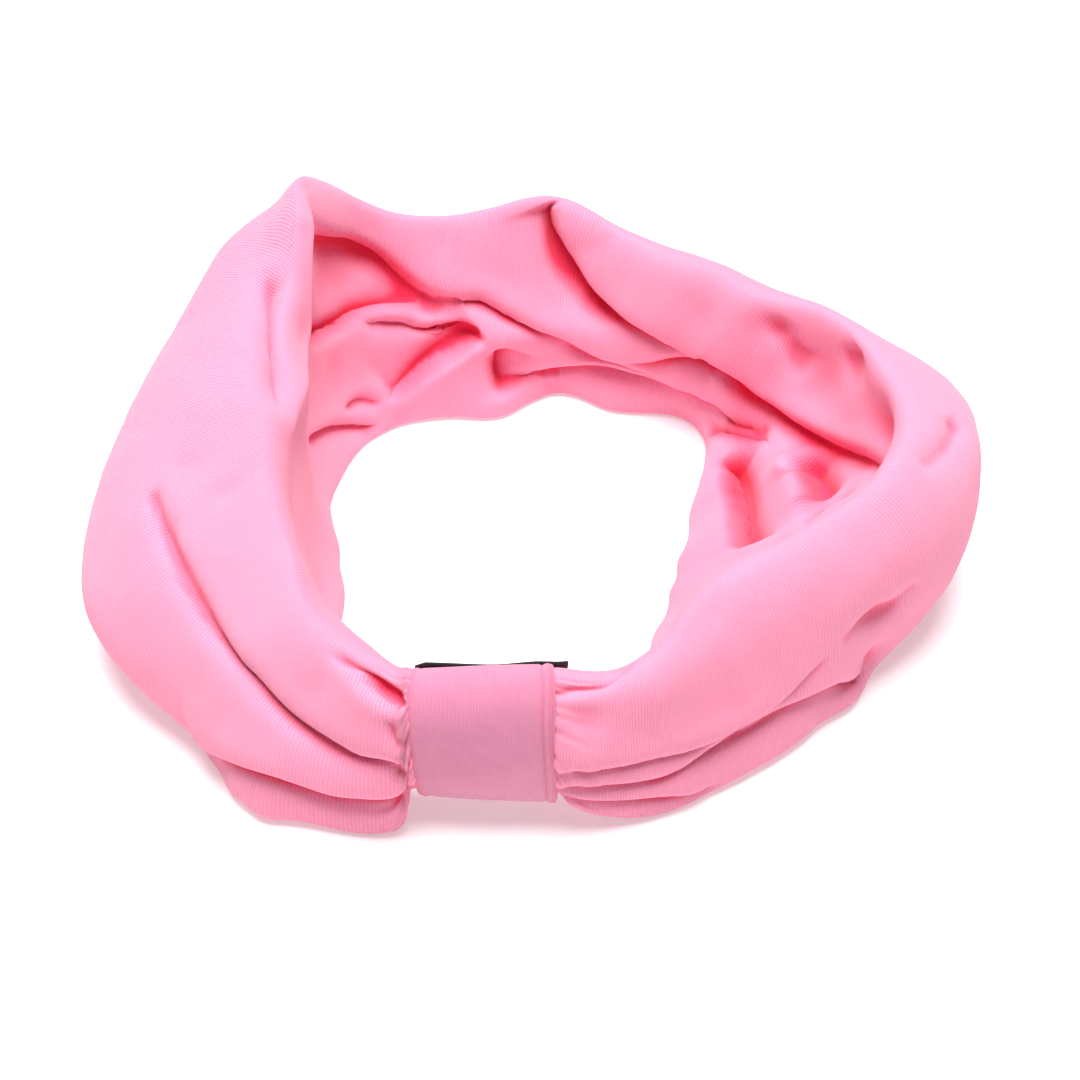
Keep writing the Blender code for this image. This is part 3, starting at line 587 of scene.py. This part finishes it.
def knit_material(name, colour, groove_shade, rib_depth, contrast, mottle=0.06, sheen=0.25, loops=0.35, rough=0.92,
                  shade_colour=(0.97, 0.15, 0.28)):
    """Single jersey: columns of V-shaped stitches counted by the UV map, one unit a stitch."""
    m = Nodes(name)
    uv = m.new("ShaderNodeUVMap", uv_map="Knit").outputs[0]
    obj = m.new("ShaderNodeTexCoord").outputs["Object"]
    # yarn irregularity bends the columns a little
    wob = m.noise(obj, 900.0, 2.0)
    wob2 = m.noise(obj, 160.0, 2.0)
    sep = m.new("ShaderNodeSeparateXYZ")
    m.put(sep.inputs[0], uv)
    u = m.math("ADD", sep.outputs[0], m.math("MULTIPLY", m.math("SUBTRACT", wob, 0.5), 0.55))
    u = m.math("ADD", u, m.math("MULTIPLY", m.math("SUBTRACT", wob2, 0.5), 0.5))
    v = m.math("ADD", sep.outputs[1], m.math("MULTIPLY", m.math("SUBTRACT", wob, 0.5), 0.5))
    fu = m.math("FRACT", u)
    off = m.math("ABSOLUTE", m.math("SUBTRACT", fu, 0.5))          # 0 in the column's middle, 0.5 in the groove
    rib = m.math("SQRT", m.math("MAXIMUM", m.math("SUBTRACT", 1.0, m.math("MULTIPLY", m.math("MULTIPLY", off, off), 3.9)), 0.0))
    loop_phase = m.math("ADD", v, m.math("MULTIPLY", off, 1.1))
    loop = m.math("MULTIPLY_ADD", m.math("SINE", m.math("MULTIPLY", loop_phase, 2 * math.pi)), 0.5, 0.5)
    centre = m.math("SMOOTH_MIN", m.math("MULTIPLY", off, 9.0), 1.0, 0.3)   # thin split between the two legs
    height = m.math("MULTIPLY", rib, m.math("ADD", m.math("MULTIPLY", loop, loops), 1.0 - loops))
    height = m.math("MULTIPLY", height, m.math("MULTIPLY_ADD", centre, 0.15, 0.85))
    fuzz = m.noise(obj, 2600.0, 3.0, 0.65)
    height = m.math("ADD", height, m.math("MULTIPLY", fuzz, 0.35))
    bump = m.new("ShaderNodeBump")
    bump.inputs["Strength"].default_value = 1.0
    bump.inputs["Distance"].default_value = rib_depth * MM
    m.put(bump.inputs["Height"], height)
    m.put(m.bsdf.inputs["Normal"], bump.outputs[0])
    # colour: darker between the ribs as painted shade, slow uneven dye, small slubs
    slow = m.noise(obj, 38.0, 3.0, 0.55)
    fine = m.noise(obj, 420.0, 3.0, 0.6)
    tone = m.math("ADD", m.math("MULTIPLY", m.math("SUBTRACT", slow, 0.5), mottle * 2.2),
                  m.math("MULTIPLY", m.math("SUBTRACT", fine, 0.5), mottle * 1.8))
    shade_and_dye = m.remap(height, 0.25, 1.1, 1.0 - contrast, 1.0)
    shade_and_dye = m.math("ADD", shade_and_dye, tone)
    body = m.mix(m.math("MINIMUM", m.math("MAXIMUM", shade_and_dye, 0.0), 1.0), groove_shade, colour)
    # painted shade: a per-point value darkens the colour and deepens it towards hot pink in folds and recesses,
    # standing in for the shade and the pink light thrown from cloth to cloth there
    deep = m.new("ShaderNodeAttribute", attribute_name="painted_shade").outputs["Fac"]
    tint = m.mix(deep, (1.0, 1.0, 1.0), shade_colour)
    mul = m.new("ShaderNodeMix", data_type="RGBA", blend_type="MULTIPLY")
    mul.inputs[0].default_value = 1.0
    m.put(mul.inputs[6], body)
    m.put(mul.inputs[7], tint)
    m.put(m.bsdf.inputs["Base Color"], mul.outputs[2])
    m.put(m.bsdf.inputs["Roughness"], m.remap(fine, 0.3, 0.7, rough - 0.05, min(rough + 0.06, 1.0)))
    m.bsdf.inputs["Specular IOR Level"].default_value = 0.18
    m.bsdf.inputs["Sheen Weight"].default_value = sheen
    m.bsdf.inputs["Sheen Roughness"].default_value = 0.55
    m.bsdf.inputs["Sheen Tint"].default_value = (1.0, 0.84, 0.88, 1.0)
    return m.mat


def simple_material(name, colour, rough=0.9):
    mat = bpy.data.materials.new(name)
    mat.use_nodes = True
    b = mat.node_tree.nodes["Principled BSDF"]
    b.inputs["Base Color"].default_value = (*colour, 1)
    b.inputs["Roughness"].default_value = rough
    return mat


WALES = 736                 # stitches round the loop: 13 to the centimetre
COURSE = 0.58               # mm from one row of stitches to the next
seam_v = int(round(0.9 * NV))
band = grid_mesh("band_tube", P, knit_uv(P, WALES, COURSE, seam_v), seam_v=seam_v)
# painted shade for the band: where other cloth hides the surface and in creases the colour is darkened and deepened to
# hot pink
clear = openness(P)
crease = np.clip(hollow(P) / 0.5, 0, 1)
shade = np.clip((0.71 - clear) / 0.30, 0, 1)
point_values(band, "painted_shade", np.clip(shade + 0.50 * crease, 0, 1.12))
jersey = knit_material("jersey_pink", (0.95, 0.318, 0.475), (0.76, 0.12, 0.245), 0.19, 0.52, mottle=0.08, sheen=0.26)
band.data.materials.append(jersey)
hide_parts("band_rear", "band_front_left", "band_front_right", "front_gather")
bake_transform(band)

# ------------------------------------------------------------------ the ring of finer knit
N_AROUND, N_FACE, N_ROLL, N_IN = 288, 96, 10, 20
x0, x1 = ring_lo.x / MM, ring_hi.x / MM
theta = 2 * math.pi * np.arange(N_AROUND) / N_AROUND         # 0 head side, 90 top, 180 front
deg = np.degrees(theta)


def circle_gap(a, b):
    return (a - b + 180.0) % 360.0 - 180.0


left_edge = x0 + 0.85 - 1.55 * np.cos(theta - math.radians(120)) - 0.15 * np.sin(3 * theta + 0.6)
right_edge = x1 + 0.5 - 0.5 * np.cos(theta - math.radians(80)) + 0.15 * np.sin(4 * theta)
WALL = 1.3
prof = []                    # (place across the ring 0..1, depth below the face 0..1)
for k in range(N_FACE):
    prof.append((k / (N_FACE - 1), 0.0, 0.0))
for k in range(1, N_ROLL + 1):
    a = math.pi * k / (N_ROLL + 1)
    prof.append((1.0, 0.5 - 0.5 * math.cos(a), 0.5 * math.sin(a)))
for k in range(N_IN):
    prof.append((1.0 - k / (N_IN - 1), 1.0, 0.0))
for k in range(1, N_ROLL + 1):
    a = math.pi * k / (N_ROLL + 1)
    prof.append((0.0, 0.5 + 0.5 * math.cos(a), -0.5 * math.sin(a)))
R = np.zeros((N_AROUND, len(prof), 3))
rng = np.random.default_rng(8)
ripple = [(rng.uniform(2.0, 7.0), rng.integers(2, 9), rng.uniform(0, 6.28), rng.uniform(0.03, 0.09)) for _ in range(9)]
for j, (t, down, out) in enumerate(prof):
    xs = left_edge + (right_edge - left_edge) * t + out * WALL
    d_right, d_left = right_edge - xs, xs - left_edge
    swell = 0.30 * np.exp(-((d_right - 0.75) / 0.6) ** 2) - 0.34 * np.exp(-((d_right - 2.0) / 0.38) ** 2)
    swell = swell + 0.22 * np.exp(-((d_left - 0.7) / 0.6) ** 2) - 0.16 * np.exp(-((d_left - 1.8) / 0.45) ** 2)
    swell = swell + 0.35 * np.sin(math.pi * t)
    swell = swell + 1.9 * (t - 0.25) * np.exp(-(circle_gap(deg, 238) / 40.0) ** 2)
    for kx, kt, ph, am in ripple:
        swell = swell + am * np.sin(kx * t + kt * theta + ph)
    seam = circle_gap(deg, 308.0)
    swell = swell * (1 - 0.8 * np.exp(-(seam / 14.0) ** 2)) + 0.34 * np.exp(-(seam / 3.2) ** 2) - 0.30 * np.exp(-(seam / 0.9) ** 2)
    swell = swell * (1 - down)
    tape_room = np.exp(-(circle_gap(deg, 10) / 48.0) ** 4)
    swell = swell * (1 - 0.75 * tape_room)
    ry, rz = RING_HY + swell - WALL * down, RING_HZ + swell - WALL * down
    R[:, j, 0] = xs
    R[:, j, 1] = RING_Y + ry * np.cos(theta)
    R[:, j, 2] = RING_Z + rz * np.sin(theta) - (0.7 + 1.5 * (x1 - xs) / (x1 - x0)) * np.clip(np.sin(theta), 0, 1)
R = R[:, ::-1]
ring_v = len(prof) - N_FACE // 2
step = np.linalg.norm(np.diff(np.concatenate([R, R[:, :1]], 1), axis=1), axis=2).mean(0)
across = np.concatenate([[0.0], np.cumsum(step)]) / 0.56
girth = 2 * math.pi * math.sqrt((RING_HY ** 2 + RING_HZ ** 2) / 2)
around = np.arange(N_AROUND + 1) / N_AROUND * round(girth / 0.46)
uv = np.stack([np.repeat(across[None, :], N_AROUND + 1, 0), np.repeat(around[:, None], len(prof) + 1, 1)], -1)
ring = grid_mesh("front_ring", R, uv)
flat_r = R.reshape(-1, 3)
# painted shade for the ring: darker along both its edges and in the groove 2 mm in from its right edge
far_x = np.minimum(np.abs(R[..., 0] - left_edge[:, None]), np.abs(R[..., 0] - right_edge[:, None]))
point_values(ring, "painted_shade", 0.30 * np.exp(-(far_x / 0.8) ** 2) + 0.25 * np.exp(-((right_edge[:, None] - R[..., 0] - 2.0) / 0.4) ** 2))
ring_knit = knit_material("wrap_knit_pink", (0.74, 0.26, 0.41), (0.44, 0.07, 0.16), 0.14, 0.55, mottle=0.14,
                          sheen=0.45, loops=0.45, rough=0.94)
ring.data.materials.append(ring_knit)
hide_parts("centre_wrap")
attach(ring, "wrap")

# ------------------------------------------------------------------ plain woven tape behind the ring, and its stitches
T_FROM, T_TO = 49.5, -34.0
NX_T, NA_T = 150, 110


def tape_point(s, a, lift):
    """s 0..1 along the ring's width, a 0..1 from the top edge down; lift above the ring's face in mm."""
    top = T_FROM + 2.6 * np.exp(-(s / 0.45) ** 2) - 4.5 * np.exp(-((s - 0.52) / 0.17) ** 2) + 0.8 * np.exp(-((s - 1) / 0.12) ** 2)
    ang = np.radians(top + (T_TO - top) * a)
    curl = 0.7 * np.exp(-(s / 0.42) ** 2) + 0.45 * np.exp(-((s - 0.82) / 0.16) ** 2) + 0.35 * np.exp(-((s - 1.02) / 0.07) ** 2)
    curl = curl * np.exp(-(a / 0.10) ** 1.5) + 0.12 * np.sin(9 * s + 2.0) * np.sin(5 * a + 1.0)
    ends = 1.2 * np.exp(-((s - 1.0) / 0.09) ** 2) + 0.6 * np.exp(-(s / 0.08) ** 2)
    h = lift + 0.28 + curl * np.clip(s / 0.07, 0, 1) + ends * (1 - np.exp(-(a / 0.22) ** 2))
    xx = RING_X - 15.3 + 34.4 * s + 0.25 * np.sin(7 * a + 1.3)
    settle = (0.7 + 1.5 * (1 - s)) * np.clip(np.sin(ang), 0, 1)
    return np.stack([xx + 0 * a, RING_Y + (RING_HY + h) * np.cos(ang), RING_Z + (RING_HZ + h) * np.sin(ang) - settle], -1)


sg, ag = np.meshgrid(np.linspace(0, 1, NX_T), np.linspace(0, 1, NA_T), indexing="ij")
weave = 0.05 * np.sin(sg * math.pi * 74) * np.sin(ag * math.pi * 60)
outer_t, inner_t = tape_point(sg, ag, 0.55 + weave), tape_point(sg, ag, 0.0)
# one closed skin: down the outer face, back up the inner one
T = np.concatenate([outer_t, inner_t[:, ::-1]], 1)
verts = T.reshape(-1, 3)
nv_t = T.shape[1]
quads = []
for i in range(NX_T - 1):
    for j in range(nv_t):
        j2 = (j + 1) % nv_t
        quads.append((i * nv_t + j, (i + 1) * nv_t + j, (i + 1) * nv_t + j2, i * nv_t + j2))
for i in (0, NX_T - 1):
    for j in range(NA_T - 1):
        q = (i * nv_t + j, i * nv_t + j + 1, i * nv_t + nv_t - 2 - j, i * nv_t + nv_t - 1 - j)
        quads.append(q if i == 0 else q[::-1])
me = bpy.data.meshes.new("woven_tape")
me.from_pydata((verts * MM).tolist(), [], quads)
me.shade_smooth()
tape = bpy.data.objects.new("woven_tape", me)
bpy.context.scene.collection.objects.link(tape)


def woven_material(name, colour, weave_highlight, pitch, rough):
    m = Nodes(name)
    obj = m.new("ShaderNodeTexCoord").outputs["Object"]
    sep = m.new("ShaderNodeSeparateXYZ")
    m.put(sep.inputs[0], obj)
    k = 2 * math.pi / (pitch * MM)
    wx = m.math("SINE", m.math("MULTIPLY", sep.outputs[0], k))
    wz = m.math("SINE", m.math("MULTIPLY", sep.outputs[2], k))
    over = m.math("MULTIPLY_ADD", m.math("MULTIPLY", wx, wz), 0.5, 0.5)
    fuzz = m.noise(obj, 2200.0, 3.0, 0.6)
    height = m.math("ADD", m.math("MULTIPLY", over, 0.8), m.math("MULTIPLY", fuzz, 0.5))
    bump = m.new("ShaderNodeBump")
    bump.inputs["Strength"].default_value = 1.0
    bump.inputs["Distance"].default_value = 0.12 * MM
    m.put(bump.inputs["Height"], height)
    m.put(m.bsdf.inputs["Normal"], bump.outputs[0])
    # painted highlight and shade: the raised crossings of the weave take the lighter colour, the low ones the darker;
    # the fuzz varies it at random
    m.put(m.bsdf.inputs["Base Color"], m.mix(m.remap(height, 0.2, 1.2, 0.0, 1.0), colour, weave_highlight))
    m.put(m.bsdf.inputs["Roughness"], m.remap(fuzz, 0.3, 0.7, rough - 0.08, rough + 0.06))
    m.bsdf.inputs["Specular IOR Level"].default_value = 0.3
    m.bsdf.inputs["Sheen Weight"].default_value = 0.15
    return m.mat


def thread_material(name, colour, ply_shade, rough, twist=1.3):
    m = Nodes(name)
    obj = m.new("ShaderNodeTexCoord").outputs["Object"]
    sep = m.new("ShaderNodeSeparateXYZ")
    m.put(sep.inputs[0], obj)
    slant = m.math("ADD", sep.outputs[0], m.math("ADD", sep.outputs[2], sep.outputs[1]))
    ply = m.math("MULTIPLY_ADD", m.math("SINE", m.math("MULTIPLY", slant, 2 * math.pi / (0.30 * twist * MM))), 0.5, 0.5)
    fuzz = m.noise(obj, 3500.0, 3.0, 0.6)
    height = m.math("ADD", m.math("MULTIPLY", ply, 0.7), m.math("MULTIPLY", fuzz, 0.5))
    bump = m.new("ShaderNodeBump")
    bump.inputs["Strength"].default_value = 1.0
    bump.inputs["Distance"].default_value = 0.08 * MM
    m.put(bump.inputs["Height"], height)
    m.put(m.bsdf.inputs["Normal"], bump.outputs[0])
    # painted shade: darker in the twist grooves between the plies; the fuzz varies it at random
    m.put(m.bsdf.inputs["Base Color"], m.mix(m.remap(height, 0.1, 1.1, 0.0, 1.0), ply_shade, colour))
    m.put(m.bsdf.inputs["Roughness"], m.remap(fuzz, 0.3, 0.7, rough - 0.1, rough + 0.05))
    m.bsdf.inputs["Sheen Weight"].default_value = 0.2
    return m.mat


tape.data.materials.append(woven_material("tape_woven_black", (0.006, 0.006, 0.007), (0.035, 0.034, 0.038), 0.9, 0.82))
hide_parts("inner_tape")
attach(tape, "wrap")


def tube_mesh(name, paths, radius, sides=10):
    """Closed round threads along several paths (mm) as one mesh."""
    vs, fs = [], []
    for path in paths:
        p = np.asarray(path, float)
        t = np.gradient(p, axis=0)
        t /= np.linalg.norm(t, axis=1, keepdims=True)
        up = np.array([0.0, 0.0, 1.0]) if abs(t[0][2]) < 0.9 else np.array([1.0, 0, 0])
        base = len(vs)
        for i in range(len(p)):
            up = up - t[i] * (up @ t[i])
            up /= np.linalg.norm(up)
            side = np.cross(t[i], up)
            end = min(i, len(p) - 1 - i)
            r = radius * (0.45 if end == 0 else 0.85 if end == 1 else 1.0)
            for k in range(sides):
                a = 2 * math.pi * k / sides
                vs.append(p[i] + r * (up * math.cos(a) + side * math.sin(a)))
        for i in range(len(p) - 1):
            for k in range(sides):
                k2 = (k + 1) % sides
                fs.append((base + i * sides + k, base + i * sides + k2, base + (i + 1) * sides + k2, base + (i + 1) * sides + k))
        fs.append(tuple(base + k for k in range(sides))[::-1])
        fs.append(tuple(base + (len(p) - 1) * sides + k for k in range(sides)))
    me = bpy.data.meshes.new(name)
    me.from_pydata((np.array(vs) * MM).tolist(), [], fs)
    me.shade_smooth()
    ob = bpy.data.objects.new(name, me)
    bpy.context.scene.collection.objects.link(ob)
    return ob


for name, s_mid, node in (("tape_stitches_left", 0.055, "tape_thread_left"), ("tape_stitches_right", 0.945, "tape_thread_right")):
    rows = 26
    q = np.linspace(0, 1, (rows - 1) * 8 + 1)
    ph = q * (rows - 1)
    tri = 1 - 2 * np.abs((ph % 2) - 1)                        # -1 .. 1 zigzag
    sq = s_mid + 0.020 * np.clip(tri * 1.25, -1, 1)
    aq = 0.06 + 0.88 * q
    hq = 0.55 + 0.16 - 0.20 * np.exp(-((np.abs(tri) - 1.0) / 0.22) ** 2)
    ob = tube_mesh(name, [tape_point(sq, aq, hq)], 0.2, 8)
    ob.data.materials.append(thread_material(name + "_thread", (0.05, 0.05, 0.055), (0.012, 0.012, 0.014), 0.62))
    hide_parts(node)
    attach(ob, "wrap")

pink_thread = thread_material("thread_pink_spun", (0.93, 0.42, 0.60), (0.70, 0.16, 0.32), 0.72)
for node in ("gathering_thread", "wrap_closing_thread"):
    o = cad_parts[node]
    for i in range(max(1, len(o.material_slots))):
        if len(o.material_slots) == 0:
            o.data.materials.append(pink_thread)
        else:
            o.material_slots[i].material = pink_thread

# ------------------------------------------------------------------ stage, light, camera
floor_me = bpy.data.meshes.new("floor")
s = 30.0
floor_me.from_pydata([(-s, -s, 0), (s, -s, 0), (s, s, 0), (-s, s, 0)], [], [(0, 1, 2, 3)])
floor = bpy.data.objects.new("floor", floor_me)
bpy.context.scene.collection.objects.link(floor)
floor.location.z = -0.0004
floor_mat = simple_material("floor_white", (0.85, 0.85, 0.85), 0.9)
floor_mat.node_tree.nodes["Principled BSDF"].inputs["Emission Color"].default_value = (1, 1, 1, 1)
floor_mat.node_tree.nodes["Principled BSDF"].inputs["Emission Strength"].default_value = 0.34
floor_me.materials.append(floor_mat)

world = bpy.data.worlds.new("studio")
bpy.context.scene.world = world
world.use_nodes = True
world.node_tree.nodes["Background"].inputs["Color"].default_value = (1, 1, 1, 1)
world.node_tree.nodes["Background"].inputs["Strength"].default_value = 0.12


def area_light(name, loc, target, size, power, colour=(1, 1, 1)):
    ld = bpy.data.lights.new(name, "AREA")
    ld.shape = "DISK"
    ld.size = size
    ld.energy = power
    ld.color = colour
    lo = bpy.data.objects.new(name, ld)
    bpy.context.scene.collection.objects.link(lo)
    lo.location = loc
    lo.rotation_euler = (Vector(target) - Vector(loc)).to_track_quat("-Z", "Y").to_euler()
    return lo


area_light("key_top", (-0.03, 0.02, 1.3), (0, 0, 0.02), 0.95, 36.5)

TARGET = Vector((0.0011, -0.0049, 0.0145))
cam_data = bpy.data.cameras.new("camera")
cam = bpy.data.objects.new("camera", cam_data)
bpy.context.scene.collection.objects.link(cam)
elev = math.radians(45.0)
cam.location = TARGET + 0.80 * Vector((0, -math.cos(elev), math.sin(elev)))
cam.rotation_euler = (TARGET - cam.location).to_track_quat("-Z", "Y").to_euler()
cam_data.sensor_width = 36.0
cam_data.lens = 109.6
cam_data.clip_start = 0.01
bpy.context.scene.camera = cam
bpy.context.scene.view_settings.view_transform = "Standard"
